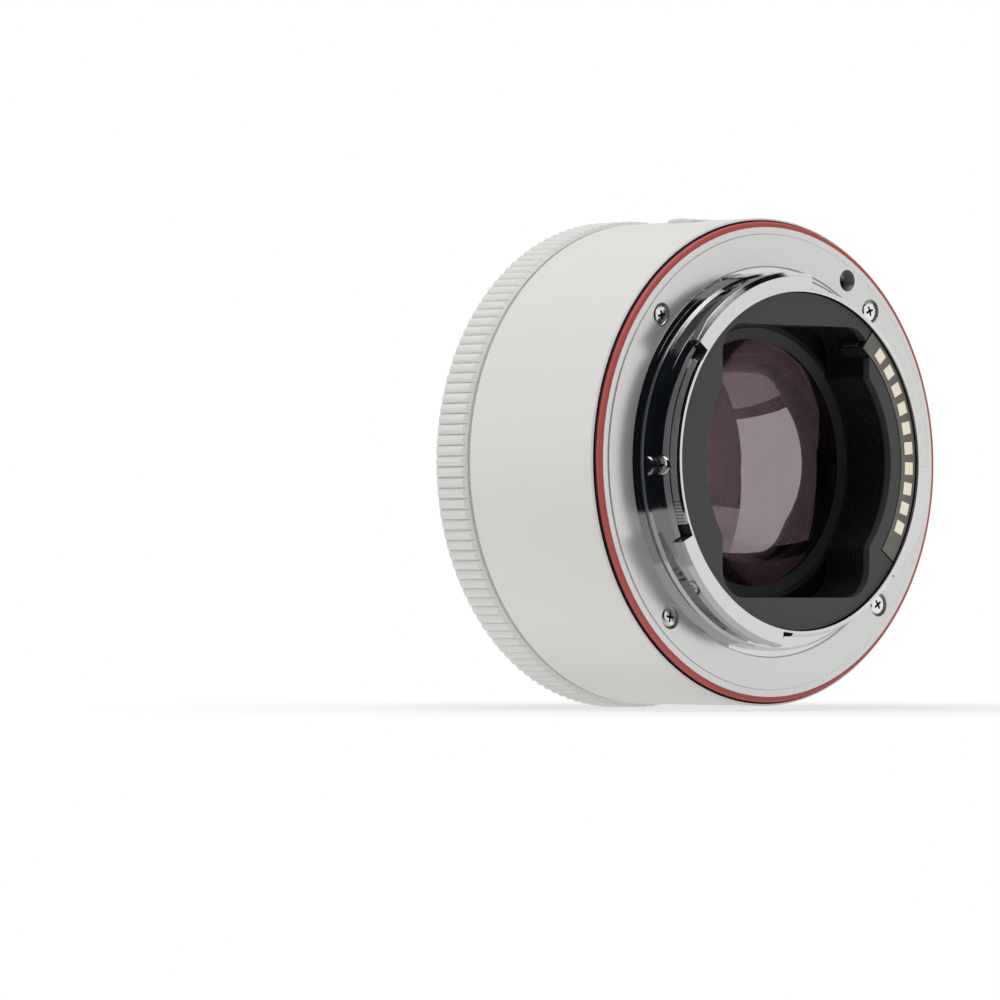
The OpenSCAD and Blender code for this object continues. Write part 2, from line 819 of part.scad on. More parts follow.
// Two screws for each leaf spring
module leaf_screw_places() {
    for (angle = lug_angles, side = [-1, 1])
        polar(angle + side * 0.28 * lug_arc, leaf_screw_circle_r) children();
}

module mount_leaf_springs() {
    half = 0.4 * lug_arc;
    leaf_rear = front_rim_t + leaf_t;
    color("lightsteelblue") along_axis() difference() {
        for (angle = lug_angles)
            sector(throat_r + seat_play, mount_rim_r - fit, front_rim_t, leaf_rear,
                angle - half, angle + half);
        leaf_screw_places() drill(small_shank_r + fit, front_rim_t - cut, leaf_rear + cut);
    }
}

module leaf_spring_screws() {
    shank = leaf_t + 1.2;
    color("silver") along_axis() leaf_screw_places() translate([0, 0, front_rim_t + leaf_t])
        cross_screw(small_head_r, small_head_h, small_shank_r, shank);
}

module front_shield() {
    color([0.1, 0.1, 0.1]) along_axis() difference() {
        ring(nose_r + seat_play, cavity_r - hole_play, shield_front, web_front);
        front_block_pocket(shield_front - cut, web_front + cut);
    }
}

module front_contact_block() {
    color([0.16, 0.16, 0.16]) along_axis() difference() {
        sector(front_block_r_in, front_block_r_out, front_block_front, board_front,
            block_first_angle, block_last_angle);
        for (angle = contact_angles)
            polar(angle, contact_circle_r) {
                drill(pin_bore_r, front_block_front - cut, pin_well_front + cut);
                drill(pin_well_r, pin_well_front, board_front + cut);
            }
    }
}

module contact_pin(i) {
    round_h = 0.25;
    tail_end = pin_collar_rear + pin_tail_len;
    color("gold") along_axis() polar(contact_angles[i - 1], contact_circle_r) turned([
        [0, pin_tip_front],
        [pin_tip_r - round_h, pin_tip_front],
        [pin_tip_r, pin_tip_front + round_h],
        [pin_tip_r, pin_collar_front],
        [pin_collar_r, pin_collar_front],
        [pin_collar_r, pin_collar_rear],
        [pin_tail_r, pin_collar_rear],
        [pin_tail_r, tail_end],
        [0, tail_end],
    ]);
}

// One sleeve for each contact pin, with the room that its coil spring takes up
module contact_springs() {
    color("silver") along_axis() for (angle = contact_angles)
        polar(angle, contact_circle_r)
            ring(pin_tail_r + slide_play, pin_collar_r - fit, pin_collar_rear + touch, board_front - touch);
}

// Lens lock

module release_lever() {
    rise = 1.1;
    crest = 1.6;
    shoulder = 0.05;
    color("whitesmoke") along_axis() rotate([0, 0, lever_angle]) {
        translate([0, lever_w / 2, lever_front]) rotate([90, 0, 0]) linear_extrude(lever_w)
            polygon([
                [lever_bottom_z, 0],
                [barrel_r + shoulder, 0],
                [lever_top_z, rise],
                [lever_top_z, rise + crest],
                [barrel_r, lever_len],
                [lever_bottom_z, lever_len],
            ]);
        translate([slide_pad_z, -stem_w / 2, stem_front])
            cube([lever_bottom_z + fit - slide_pad_z, stem_w, stem_len]);
        translate([slide_pad_z - tongue_h, -tongue_w / 2, tongue_front])
            cube([tongue_h + fit, tongue_w, tongue_len]);
    }
}

// Boss on the lock pin, an arm around the axis, and a plate under the lever
module lock_slide() {
    plate_arc = 12;
    plate_margin = 0.5;
    pad_w_total = stem_w + 1.4;
    arm_inset = 0.1;
    arm_front = slide_boss_front + 0.3;
    arm_rear = slide_boss_rear - 0.3;
    plate_front = arm_front + arm_inset;
    plate_rear = stem_front + stem_len + plate_margin;
    plate_bore_r = slide_r - slide_t;
    color("darkgray") along_axis() difference() {
        union() {
            lock_hole(slide_boss_r, slide_boss_front, slide_boss_rear);
            sector(plate_bore_r + arm_inset, slide_r - arm_inset, arm_front, arm_rear,
                lock_angle, lever_angle);
            sector(plate_bore_r, slide_r, plate_front, plate_rear,
                lever_angle - plate_arc / 2, lever_angle + plate_arc / 2);
            rotate([0, 0, lever_angle])
                translate([slide_r - slide_t / 2, -pad_w_total / 2, stem_front - plate_margin / 2])
                    cube([slide_pad_z - slide_r + slide_t / 2, pad_w_total, stem_len + plate_margin / 2]);
        }
        lock_hole(lock_pin_r + touch, slide_boss_front - cut, slide_boss_rear + cut);
        rotate([0, 0, lever_angle]) translate([plate_bore_r - cut, -tongue_w / 2 - fit, tongue_front - fit])
            cube([slide_t + 2 * cut, tongue_w + 2 * fit, tongue_len + 2 * fit]);
    }
}

module lock_pin() {
    lead = 0.35;
    color("silver") along_axis() polar(lock_angle, lock_circle_r) turned([
        [0, -lock_pin_h],
        [lock_pin_r - lead, -lock_pin_h],
        [lock_pin_r, lead - lock_pin_h],
        [lock_pin_r, slide_boss_rear],
        [lock_tail_r, slide_boss_rear],
        [lock_tail_r, lock_tail_end],
        [0, lock_tail_end],
    ]);
}

// Round wire wound on a helix, as one closed tube
module helix_wire(mean_r, wire_r, turns, len, rings_per_turn, sides) {
    ring_count = round(turns * rings_per_turn);
    rise = (len - 2 * wire_r) / ring_count;
    points = [for (i = [0 : ring_count], j = [0 : sides - 1])
        let (turn = i * 360 / rings_per_turn, side = j * 360 / sides, r = mean_r + wire_r * cos(side))
        [r * cos(turn), r * sin(turn), wire_r + i * rise + wire_r * sin(side)]];
    side_faces = [for (i = [0 : ring_count - 1], j = [0 : sides - 1])
        let (a = i * sides + j, b = i * sides + (j + 1) % sides)
        each [[a, b, b + sides], [a, b + sides, a + sides]]];
    first_cap = [for (j = [1 : sides - 2]) [0, j + 1, j]];
    last = ring_count * sides;
    last_cap = [for (j = [1 : sides - 2]) [last, last + j, last + j + 1]];
    polyhedron(points, concat(side_faces, first_cap, last_cap));
}

module lock_spring() {
    color("silver") along_axis() polar(lock_angle, lock_circle_r) translate([0, 0, spring_front])
        helix_wire(spring_mean_r, spring_wire_r, spring_turns, spring_len, 12, 6);
}

// Front optics

module front_cell() {
    lip_front = front_lens_rear - sag(front_lens_r2, doublet_lip_r) + fit;
    lip_rear = doublet_front + sag(doublet_r1, doublet_lip_r) - fit;
    spigot_rear = web_rear + nut_t + 0.4;
    bevel = 0.4;
    color([0.12, 0.12, 0.12]) along_axis() turned([
        [front_ring_out_r + fit, nose_front],
        [nose_r - bevel, nose_front],
        [nose_r, nose_front + bevel],
        [nose_r, web_front],
        [nose_spigot_r, web_front],
        [nose_spigot_r, spigot_rear],
        [doublet_r + fit, spigot_rear],
        [doublet_r + fit, lip_rear],
        [doublet_lip_r, lip_rear],
        [doublet_lip_r, lip_front],
        [front_lens_r + fit, lip_front],
        [front_lens_r + fit, front_ring_seat],
        [front_ring_out_r + fit, front_ring_seat],
    ]);
}

module front_cell_nut() {
    nut_w = 2;
    color("gray") along_axis()
        ring(nose_spigot_r + thread_play, nose_spigot_r + nut_w, web_rear, web_rear + nut_t);
}

module front_bumper() {
    inset = 0.4;
    color([0.08, 0.08, 0.08]) along_axis()
        ring(front_ring_out_r + seat_play, nose_r - inset, nose_front - bumper_t, nose_front);
}

module front_retaining_ring() {
    mouth = 0.7;
    ring_front = nose_front + 0.3;
    color([0.12, 0.12, 0.12]) along_axis() turned([
        [front_ring_in_r, front_ring_seat],
        [front_ring_out_r, front_ring_seat],
        [front_ring_out_r, ring_front],
        [front_ring_in_r + mouth, ring_front],
    ]);
}

module doublet_retaining_ring() {
    ring_w = 0.9;
    ring_t = 1.6;
    rim = doublet_rear + sag(doublet_r3, doublet_r) + touch;
    color([0.12, 0.12, 0.12]) along_axis() ring(doublet_r - ring_w, doublet_r, rim, rim + ring_t);
}

module front_lens() {
    color("lightcyan", 0.5) along_axis()
        lens(front_lens_r, front_lens_front, front_lens_rear, front_lens_r1, front_lens_r2);
}

module doublet_front_lens() {
    color("lightcyan", 0.5) along_axis()
        lens(doublet_r, doublet_front, doublet_mid, doublet_r1, doublet_r2);
}

module doublet_rear_lens() {
    color("lightcyan", 0.5) along_axis()
        lens(doublet_r, doublet_mid + cement, doublet_rear, -doublet_r2, -doublet_r3);
}

// Rear optics

module rear_cell() {
    spacer_seat = triplet_rear_rim + 2 * touch;
    triplet_seat = triplet_front_rim - touch;
    flange_rear = shelf_rear + cell_flange_t;
    color([0.1, 0.1, 0.1]) along_axis() difference() {
        turned([
            [triplet_lip_r, cell_front],
            [cell_neck_r, cell_front],
            [cell_neck_r, cell_neck_rear],
            [cell_r, cell_neck_rear],
            [cell_r, shelf_rear],
            [cell_flange_r, shelf_rear],
            [cell_flange_r, flange_rear],
            [cell_r, flange_rear],
            [cell_r, cell_rear],
            [retainer_r + fit, cell_rear],
            [retainer_r + fit, retainer_seat],
            [rear_lens_r + fit, retainer_seat],
            [rear_lens_r + fit, rear_lens_front],
            [field_lens_r + fit, rear_lens_front],
            [field_lens_r + fit, spacer_seat],
            [triplet_r + fit, spacer_seat],
            [triplet_r + fit, triplet_seat],
            [triplet_lip_r, triplet_seat],
        ]);
        for (angle = cell_screw_angles)
            polar(angle, cell_screw_circle_r)
                drill(small_shank_r + hole_play, shelf_rear - cut, flange_rear + cut);
        flex_slot(shelf_rear - cut, flange_rear + cut);
    }
}

module rear_cell_screws() {
    head_r = 1.1;
    head_h = 0.6;
    color("silver") along_axis() for (angle = cell_screw_angles)
        polar(angle, cell_screw_circle_r) translate([0, 0, shelf_rear + cell_flange_t])
            cross_screw(head_r, head_h, small_shank_r, cell_flange_t + shelf_t - seat_play);
}

module lens_spacer_front() {
    spacer_w = field_lens_r - triplet_r + 0.5;
    field_rim = field_lens_front - sag(field_r1, field_lens_r);
    color([0.1, 0.1, 0.1]) along_axis()
        ring(field_lens_r - spacer_w, field_lens_r, triplet_rear_rim + 2 * touch, field_rim - touch);
}

module lens_spacer_rear() {
    spacer_bore_r = field_lens_r - 0.9;
    field_rim = field_lens_rear - sag(field_r2, spacer_bore_r);
    color([0.1, 0.1, 0.1]) along_axis()
        ring(spacer_bore_r, field_lens_r, field_rim + touch, rear_lens_front - touch);
}

// Ring with a bevelled bore that holds the rear lens by its rim
module rear_retaining_ring() {
    lip_r = rear_lens_r - 0.5;
    lip = rear_lens_rear - sag(rear_lens_radius, lip_r) + fit;
    lip_t = 0.12;
    land_w = 0.15;
    ring_front = retainer_seat + touch;
    ring_rear = cell_rear + fit;
    color([0.25, 0.25, 0.25]) along_axis() turned([
        [lip_r, lip],
        [rear_lens_r + fit, ring_front],
        [retainer_r, ring_front],
        [retainer_r, ring_rear],
        [retainer_r - land_w, ring_rear],
        [lip_r, lip + lip_t],
    ]);
}

module triplet_front_lens() {
    color("lightcyan", 0.5) along_axis()
        lens(triplet_r, triplet_v1, triplet_v2, -triplet_r1, -triplet_r2);
}

module triplet_middle_lens() {
    color("lightcyan", 0.5) along_axis()
        lens(triplet_r, triplet_v2 + cement, triplet_v3 - cement, triplet_r2, triplet_r3);
}

module triplet_rear_lens() {
    color("lightcyan", 0.5) along_axis()
        lens(triplet_r, triplet_v3, triplet_v4, -triplet_r3, -triplet_r4);
}

module field_lens() {
    color("lightcyan", 0.5) along_axis()
        lens(field_lens_r, field_lens_front, field_lens_rear, -field_r1, field_r2);
}

module rear_lens() {
    color("plum", 0.5) along_axis()
        lens(rear_lens_r, rear_lens_front, rear_lens_rear, 0, rear_lens_radius);
}

// Electronics

module circuit_board() {
    board_rear = board_front + board_t;
    color("darkgreen") along_axis() difference() {
        sector(board_r_in, board_r_out, board_front, board_rear, board_first_angle, board_last_angle);
        for (angle = board_screw_angles)
            polar(angle, board_mid_r)
                drill(small_shank_r + hole_play, board_front - cut, board_rear + cut);
    }
}

module board_screws() {
    head_h = 0.5;
    shank = board_t + 1.6;
    color("silver") along_axis() for (angle = board_screw_angles)
        polar(angle, board_mid_r) translate([0, 0, board_front + board_t])
            cross_screw(board_head_r, head_h, small_shank_r, shank);
}

module controller_chip() {
    size = 2.6;
    height = 0.8;
    color([0.08, 0.08, 0.08]) along_axis() polar(chip_angle, board_mid_r)
        translate([-size / 2, -size / 2, board_front + board_t]) cube([size, size, height]);
}

module contact_flex() {
    flex_front = board_front + board_t;
    color("orange") along_axis() rotate([0, 0, contact_mid_angle])
        translate([flex_r, -flex_w / 2, flex_front])
            cube([flex_t, flex_w, block_seat - flex_front]);
}

barrel();
grip_ring();
chassis();
rear_mount();
rear_mount_screws();
rear_seal();
rear_mask();
light_trap();
mask_screws();
rear_contact_block();
rear_contact_pads();
front_mount();
front_mount_screws();
mount_leaf_springs();
leaf_spring_screws();
front_shield();
front_contact_block();
contact_springs();
release_lever();
lock_slide();
lock_pin();
lock_spring();
front_cell();
front_cell_nut();
front_bumper();
front_retaining_ring();
doublet_retaining_ring();
rear_cell();
rear_cell_screws();
lens_spacer_front();
lens_spacer_rear();
rear_retaining_ring();
front_lens();
doublet_front_lens();
doublet_rear_lens();
triplet_front_lens();
triplet_middle_lens();
triplet_rear_lens();
field_lens();
rear_lens();
circuit_board();
board_screws();
controller_chip();
contact_flex();
for (i = [1 : contact_count])
    contact_pin(i);
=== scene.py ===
"""Looks of the camera teleconverter: finishes, turned and moulded pieces, studio and camera.

The optical axis lies on Y, and the rear, with the male bayonet, points towards -Y. Distances
along the axis are written as w, the distance behind the front mount face, so y = -w.
"""
import json
import math

import bmesh
import bpy
from mathutils import Matrix, Vector


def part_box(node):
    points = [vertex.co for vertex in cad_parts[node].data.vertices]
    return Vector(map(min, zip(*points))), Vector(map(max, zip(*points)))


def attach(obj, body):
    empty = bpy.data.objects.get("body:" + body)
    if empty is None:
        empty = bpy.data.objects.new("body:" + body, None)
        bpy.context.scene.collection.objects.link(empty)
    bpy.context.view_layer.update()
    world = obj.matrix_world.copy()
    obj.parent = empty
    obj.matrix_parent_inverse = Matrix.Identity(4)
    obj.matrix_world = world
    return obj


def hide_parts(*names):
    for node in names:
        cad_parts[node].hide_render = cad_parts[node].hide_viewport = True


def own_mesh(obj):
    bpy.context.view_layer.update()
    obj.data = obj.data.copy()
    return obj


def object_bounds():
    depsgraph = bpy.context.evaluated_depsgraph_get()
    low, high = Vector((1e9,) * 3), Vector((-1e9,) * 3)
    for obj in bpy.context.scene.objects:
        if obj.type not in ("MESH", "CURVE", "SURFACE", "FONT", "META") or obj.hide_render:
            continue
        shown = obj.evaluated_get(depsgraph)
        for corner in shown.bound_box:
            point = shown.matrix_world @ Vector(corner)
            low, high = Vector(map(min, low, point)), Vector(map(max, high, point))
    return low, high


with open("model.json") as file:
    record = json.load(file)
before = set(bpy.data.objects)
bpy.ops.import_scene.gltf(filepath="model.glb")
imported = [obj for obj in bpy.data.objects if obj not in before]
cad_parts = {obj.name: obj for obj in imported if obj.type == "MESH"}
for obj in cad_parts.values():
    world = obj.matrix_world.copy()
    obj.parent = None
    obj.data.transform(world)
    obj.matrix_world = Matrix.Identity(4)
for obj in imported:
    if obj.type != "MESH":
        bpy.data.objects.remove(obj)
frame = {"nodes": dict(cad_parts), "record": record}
CAD_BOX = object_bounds()
NODES = frame["nodes"]
MM = 0.001


# Shader maths

class Shade:
    """A socket in a material's node tree. Python's operators on it add Math nodes."""

    def __init__(self, tree, socket=None):
        self.tree = tree
        self.socket = socket

    def node(self, kind, settings=None, inputs=None, out=0):
        """Adds a node of this type and returns one of its outputs."""
        made = self.tree.nodes.new("ShaderNode" + kind)
        for name, value in (settings or {}).items():
            setattr(made, name, value)
        for name, value in (inputs or {}).items():
            if isinstance(value, Shade):
                self.tree.links.new(value.socket, made.inputs[name])
            else:
                made.inputs[name].default_value = value
        return Shade(self.tree, made.outputs[out])

    def math(self, operation, a, b=0.0):
        return self.node("Math", {"operation": operation}, {0: a, 1: b})

    def __add__(self, other):
        return self.math("ADD", self, other)

    __radd__ = __add__

    def __sub__(self, other):
        return self.math("SUBTRACT", self, other)

    def __rsub__(self, other):
        return self.math("SUBTRACT", other, self)

    def __mul__(self, other):
        return self.math("MULTIPLY", self, other)

    __rmul__ = __mul__

    def __pow__(self, other):
        return self.math("POWER", self, other)

    def __lt__(self, other):
        return self.math("LESS_THAN", self, other)

    def __gt__(self, other):
        return self.math("GREATER_THAN", self, other)

    def step(self, low, high):
        """0 below low, 1 above high, smooth between."""
        return self.node("MapRange", {"interpolation_type": "SMOOTHSTEP"}, {0: self, 1: low, 2: high})

    def blend(self, low, high):
        """Mix of two colours, this value being the share of the second."""
        return self.node("Mix", {"data_type": "RGBA"}, {0: self, 6: low, 7: high}, out=2)


def rgb(r, g, b):
    return (r, g, b, 1.0)


class Finish:
    """A Principled material, with the places on the object that its patterns follow, in millimetres."""

    def __init__(self, name, **sockets):
        self.material = bpy.data.materials.new(name)
        self.material.use_nodes = True
        self.tree = self.material.node_tree
        self.shader = self.tree.nodes["Principled BSDF"]
        self.base = Shade(self.tree)
        self.place = self.base.node("TexCoord", out="Object")
        parts = self.base.node("SeparateXYZ", {}, {0: self.place}).socket.node
        self.x, y, self.z = (Shade(self.tree, o) * (1 / MM) for o in parts.outputs)
        self.w = 0 - y
        self.radius = (self.x * self.x + self.z * self.z) ** 0.5
        self.set(**sockets)

    def set(self, **sockets):
        for name, value in sockets.items():
            socket = self.shader.inputs[name.replace("_", " ")]
            if isinstance(value, Shade):
                self.tree.links.new(value.socket, socket)
            else:
                socket.default_value = value
        return self

    def noise(self, size, detail=2.0):
        """Noise with features of about this size in millimetres, from 0 to 1."""
        return self.base.node("TexNoise", {}, {
            "Vector": self.place, "Scale": 1 / (size * MM), "Detail": detail})

    def streaks(self, along, size, detail=2.0):
        """Noise that changes with one measure only, such as the radius on turned metal."""
        return self.base.node("TexNoise", {"noise_dimensions": "1D"}, {
            "W": along, "Scale": 1 / size, "Detail": detail})

    def bump(self, height, depth, normal=None):
        """Bump of this depth in millimetres."""
        inputs = {"Height": height, "Distance": depth * MM, "Strength": 1.0}
        if normal is not None:
            inputs["Normal"] = normal
        self.set(Normal=self.base.node("Bump", {}, inputs))
        return self

    def soft_edges(self, size):
        """Normal that rounds the sharp edges by this radius in millimetres."""
        return self.base.node("Bevel", {"samples": 6}, {"Radius": size * MM})


# Finishes, and the places where they change, in millimetres and degrees

POLISH_R = (24.95, 25.0)
POLISH_W = (29.60, 29.70)
RIM_STEP_R = 29.23
POCKET_ANGLES = (143.35, 203.65, 263.35)
POCKET_FLOOR_R = 21.97
POCKET_HALF = 0.866
POCKET_W = 33.77
SCORE_PITCH = 0.42
SCORED_X = -15
SCORED_Z = (-8.5, -5.2)
SCORED_W = 33.92
SCORED_R = 22.3
SEAL_GAP_SHADE_W = (29.30, 29.50)
CONTACT_FACE_W = (34.72, 34.90)
REAR_LENS_EDGE_R = (6.0, 16.0)
REAR_LENS_FACE_W = (25.2, 25.6)


def body_paint():
    f = Finish("body_paint", Metallic=0.0)
    speckle = f.noise(0.25, 3.0)
    cloud = f.noise(9.0)
    f.set(Base_Color=(cloud * 0.6 + speckle * 0.4).blend(rgb(0.705, 0.703, 0.680), rgb(0.735, 0.732, 0.712)))
    f.set(Roughness=speckle * 0.12 + 0.40)
    return f.bump(f.noise(0.16, 2.0), 0.006)


def mount_metal():
    """Satin flange, polished shoulder, tube and lugs, and painted shade: the pockets beside the lugs are near
    black, for the shadow they stand in.
    """
    f = Finish("mount_metal")
    tube = (1 - f.radius.step(*POLISH_R)) * f.w.step(*POLISH_W)
    marks = f.streaks(f.radius, 0.09, 3.0) * (1 - tube) + f.streaks(f.w, 0.07, 3.0) * tube
    cloud = f.noise(6.0)
    shaded_pockets = 0
    for angle in POCKET_ANGLES:
        c, s = math.cos(math.radians(angle)), math.sin(math.radians(angle))
        across = f.z * c - f.x * s
        shaded_pockets = shaded_pockets + (f.x * c + f.z * s > POCKET_FLOOR_R) * (across * across < POCKET_HALF ** 2)
    shaded_pockets = shaded_pockets * (f.w > POCKET_W)
    score = f.base.math("SINE", f.z * (math.tau / SCORE_PITCH)).step(0.0, 0.5)
    scored = score * (f.x < SCORED_X) * (f.z > SCORED_Z[0]) * (f.z < SCORED_Z[1])
    scored = scored * (f.w > SCORED_W) * (f.radius > SCORED_R)
    satin_tone = (marks * 0.5 + cloud * 0.5).blend(rgb(0.69, 0.69, 0.68), rgb(0.75, 0.75, 0.74))
    bright_tone = marks.blend(rgb(0.62, 0.62, 0.62), rgb(0.67, 0.67, 0.67))
    metal = tube.blend(satin_tone, (scored * 0.7).blend(bright_tone, rgb(0.10, 0.10, 0.10)))
    # Painted shade: the pockets beside the lugs are coloured near black to stand for their shadow.
    pocket_shade = cloud.blend(rgb(0.008, 0.008, 0.008), rgb(0.016, 0.016, 0.016))
    f.set(Base_Color=shaded_pockets.blend(metal, pocket_shade))
    f.set(Metallic=(tube * 0.36 + 0.64) * (1 - shaded_pockets))
    rim_step = f.radius.step(RIM_STEP_R - 0.11, RIM_STEP_R - 0.03) * (
        1 - f.radius.step(RIM_STEP_R + 0.03, RIM_STEP_R + 0.11))
    satin = marks * 0.08 + cloud * 0.05 + 0.15 + rim_step * 0.25
    polished = marks * 0.05 + 0.05
    f.set(Roughness=satin * (1 - tube) + polished * tube + shaded_pockets * 0.5)
    return f.bump(marks, 0.0006, f.soft_edges(0.07))


def screw_steel():
    f = Finish("screw_steel", Metallic=1.0)
    marks = f.noise(0.3, 3.0)
    f.set(Base_Color=marks.blend(rgb(0.76, 0.75, 0.74), rgb(0.84, 0.83, 0.82)))
    f.set(Roughness=marks * 0.12 + 0.12)
    return f.bump(marks, 0.0006)


def spring_steel():
    f = Finish("spring_steel", Metallic=1.0)
    grain = f.noise(0.2, 4.0)
    f.set(Base_Color=grain.blend(rgb(0.48, 0.48, 0.50), rgb(0.62, 0.62, 0.64)))
    f.set(Roughness=grain * 0.2 + 0.22)
    return f.bump(grain, 0.002)


def frame_alloy():
    f = Finish("frame_alloy", Metallic=1.0)
    grain = f.noise(0.5, 4.0)
    f.set(Base_Color=grain.blend(rgb(0.28, 0.28, 0.29), rgb(0.42, 0.42, 0.43)))
    f.set(Roughness=grain * 0.2 + 0.45)
    return f.bump(grain, 0.02)


def seal_rubber():
    """Red where the seal stands out of its groove, and painted shade below: near black on the lower wall, for
    the shadow in the gap at the barrel.
    """
    f = Finish("seal_rubber")
    speckle = f.noise(0.12, 3.0)
    red = speckle.blend(rgb(0.47, 0.070, 0.055), rgb(0.56, 0.095, 0.080))
    # Painted shade: the lower outer wall is near black, for the shadow in the gap at the barrel.
    dark = speckle.blend(rgb(0.020, 0.006, 0.005), rgb(0.03, 0.01, 0.009))
    f.set(Base_Color=f.w.step(*SEAL_GAP_SHADE_W).blend(dark, red))
    f.set(Roughness=speckle * 0.15 + 0.45)
    return f.bump(speckle, 0.006)


def moulded(name, dark, light, size=0.14, depth=0.006, rough=0.5):
    """Plastic or rubber between two tones, with a grain of this size and depth in millimetres."""
    f = Finish(name)
    grain = f.noise(size, 3.0)
    cloud = f.noise(4.0)
    f.set(Base_Color=(grain * 0.5 + cloud * 0.5).blend(rgb(*dark), rgb(*light)))
    f.set(Roughness=grain * 0.16 + rough - 0.08)
    return f.bump(grain, depth, f.soft_edges(0.08))


def contact_plastic():
    """Brownish grey on the rear face, and painted shade on the sides that look into the tunnel: near black.
    """
    f = Finish("contact_plastic")
    grain = f.noise(0.14, 3.0)
    face = grain.blend(rgb(0.155, 0.147, 0.127), rgb(0.200, 0.191, 0.167))
    # Painted shade: the sides that look into the tunnel are near black, for the shadow they stand in.
    side = grain.blend(rgb(0.008, 0.008, 0.009), rgb(0.016, 0.016, 0.017))
    f.set(Base_Color=f.w.step(*CONTACT_FACE_W).blend(side, face))
    f.set(Roughness=grain * 0.16 + 0.42)
    return f.bump(grain, 0.006, f.soft_edges(0.08))


def contact_gold():
    f = Finish("contact_gold", Metallic=1.0)
    grain = f.noise(0.2, 3.0)
    f.set(Base_Color=grain.blend(rgb(0.86, 0.78, 0.60), rgb(0.92, 0.86, 0.70)))
    f.set(Roughness=grain * 0.15 + 0.28)
    return f.bump(grain, 0.002)


def cell_alloy():
    f = Finish("cell_alloy", Metallic=0.0)
    grain = f.noise(0.12, 3.0)
    marks = f.streaks(f.radius, 0.12)
    f.set(Base_Color=(grain * 0.5 + marks * 0.5).blend(rgb(0.016, 0.016, 0.017), rgb(0.03, 0.03, 0.031)))
    f.set(Roughness=marks * 0.15 + 0.36)
    return f.bump(marks, 0.001)


def lens_glass():
    f = Finish("lens_glass", Metallic=0.0)
    haze = f.noise(2.5)
    f.set(Base_Color=haze.blend(rgb(0.93, 0.93, 0.95), rgb(0.97, 0.96, 0.98)))
    f.set(Roughness=haze * 0.01, IOR=1.25, Transmission_Weight=1.0)
    return f


def rear_glass():
    """Glass with a coat that throws back a pink and lilac part of the light."""
    f = Finish("rear_glass")
    haze = f.noise(3.0)
    edge = f.radius.step(*REAR_LENS_EDGE_R)
    rear = f.w.step(*REAR_LENS_FACE_W)
    outer = (edge * 0.8 + haze * 0.2).blend(rgb(0.93, 0.84, 0.84), rgb(0.90, 0.74, 0.80))
    inner = haze.blend(rgb(0.94, 0.56, 0.62), rgb(0.96, 0.62, 0.66))
    f.set(Base_Color=rear.blend(inner, outer))
    f.set(Metallic=haze * 0.03 + rear * 0.16 + 0.03, Roughness=haze * 0.01, IOR=1.35, Transmission_Weight=1.0)
    return f


def board_laminate():
    f = Finish("board_laminate")
    grain = f.noise(0.3, 3.0)
    tracks = (f.base.node("TexWave", {"bands_direction": "DIAGONAL"}, {
        "Vector": f.place, "Scale": 1 / (1.4 * MM), "Distortion": 3.0}, out="Fac")).step(0.55, 0.65)
    f.set(Base_Color=(tracks * 0.6 + grain * 0.4).blend(rgb(0.012, 0.09, 0.04), rgb(0.05, 0.24, 0.12)))
    f.set(Roughness=grain * 0.1 + 0.3)
    return f.bump(tracks, 0.02)


def flex_film():
    f = Finish("flex_film")
    tracks = (f.base.node("TexWave", {"bands_direction": "Z"}, {
        "Vector": f.place, "Scale": 1 / (2.4 * MM)}, out="Fac")).step(0.45, 0.55)
    f.set(Base_Color=tracks.blend(rgb(0.42, 0.19, 0.03), rgb(0.62, 0.34, 0.10)))
    f.set(Roughness=tracks * 0.1 + 0.3)
    return f.bump(tracks, 0.02)


FINISHES = {
    "body_paint": body_paint(),
    "frame_alloy": frame_alloy(),
    "mount_metal": mount_metal(),
    "screw_steel": screw_steel(),
    "spring_steel": spring_steel(),
    "seal_rubber": seal_rubber(),
    "mask_plastic": moulded("mask_plastic", (0.045, 0.045, 0.047), (0.062, 0.062, 0.064)),
    "trap_plastic": moulded("trap_plastic", (0.007, 0.008, 0.008), (0.014, 0.014, 0.015)),
    "contact_plastic": contact_plastic(),
    "contact_gold": contact_gold(),
    "cell_alloy": cell_alloy(),
    "bumper_rubber": moulded("bumper_rubber", (0.010, 0.010, 0.010), (0.022, 0.022, 0.022), 0.2, 0.01, 0.65),
    "lens_glass": lens_glass(),
    "board_laminate": board_laminate(),
    "chip_plastic": moulded("chip_plastic", (0.012, 0.012, 0.012), (0.024, 0.024, 0.024), 0.08, 0.004, 0.55),
    "flex_film": flex_film(),
}
COMB = moulded("contact_comb_plastic", (0.03, 0.03, 0.032), (0.05, 0.05, 0.052), 0.1, 0.004, 0.35)
# Painted shade: the cross recesses of the screws are coloured near black and rough, for the shade inside
# them.
RECESS_SHADE = moulded("screw_recess_shade", (0.006, 0.006, 0.006), (0.016, 0.016, 0.015), 0.1, 0.004, 0.8)
REAR_GLASS = rear_glass()

SLOT_OF = {s["node"]: s["material_slot"] for s in frame["record"]["subparts"]}
for name, node in NODES.items():
    material = FINISHES[SLOT_OF[name]].material
    if node.material_slots:
        for slot in node.material_slots:
            slot.material = material
    else:
        node.data.materials.append(material)


# Pieces made here. They are drawn in millimetres, then brought to metres.

